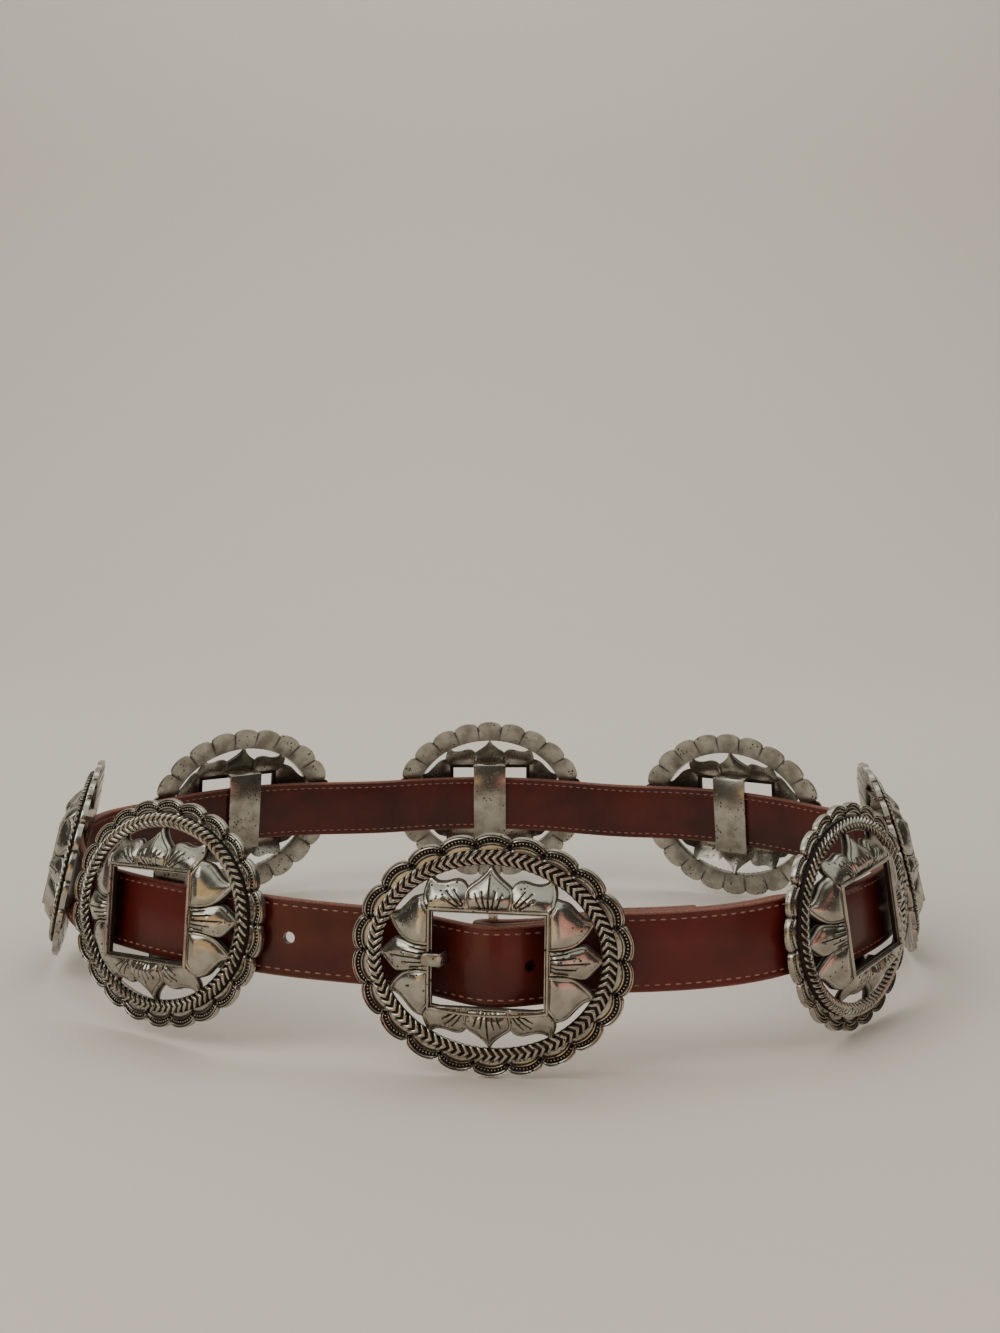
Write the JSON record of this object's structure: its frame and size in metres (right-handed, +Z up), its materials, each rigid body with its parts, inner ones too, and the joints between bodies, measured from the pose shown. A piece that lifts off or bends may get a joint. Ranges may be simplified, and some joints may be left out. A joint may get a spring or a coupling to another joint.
{
  "type": "concho belt",
  "caption": "Fastened waist belt of stitched leather with pierced oval scalloped silver slides and a matching oval buckle with a prong.",
  "frame": {"origin": "middle of the waist hollow, at the height of the buckle's middle", "axes": "+Z up, the buckle faces -Y, +X towards the side that the tail runs to"},
  "size_m": [0.3221, 0.252, 0.0734],
  "materials": {
    "leather": "glossy dark reddish-brown leather with pale stitching",
    "silver": "antiqued cast silver, bright on the high relief and dark in the recesses"
  },
  "bodies": {
    "root": {"strap": "leather", "buckle_frame": "silver", "concho_front_right": "silver", "concho_side_right": "silver", "concho_back_right": "silver", "concho_back_middle": "silver", "concho_back_left": "silver", "concho_side_left": "silver", "concho_front_left": "silver", "buckle_prong": "silver"}
  },
  "joints": []
}
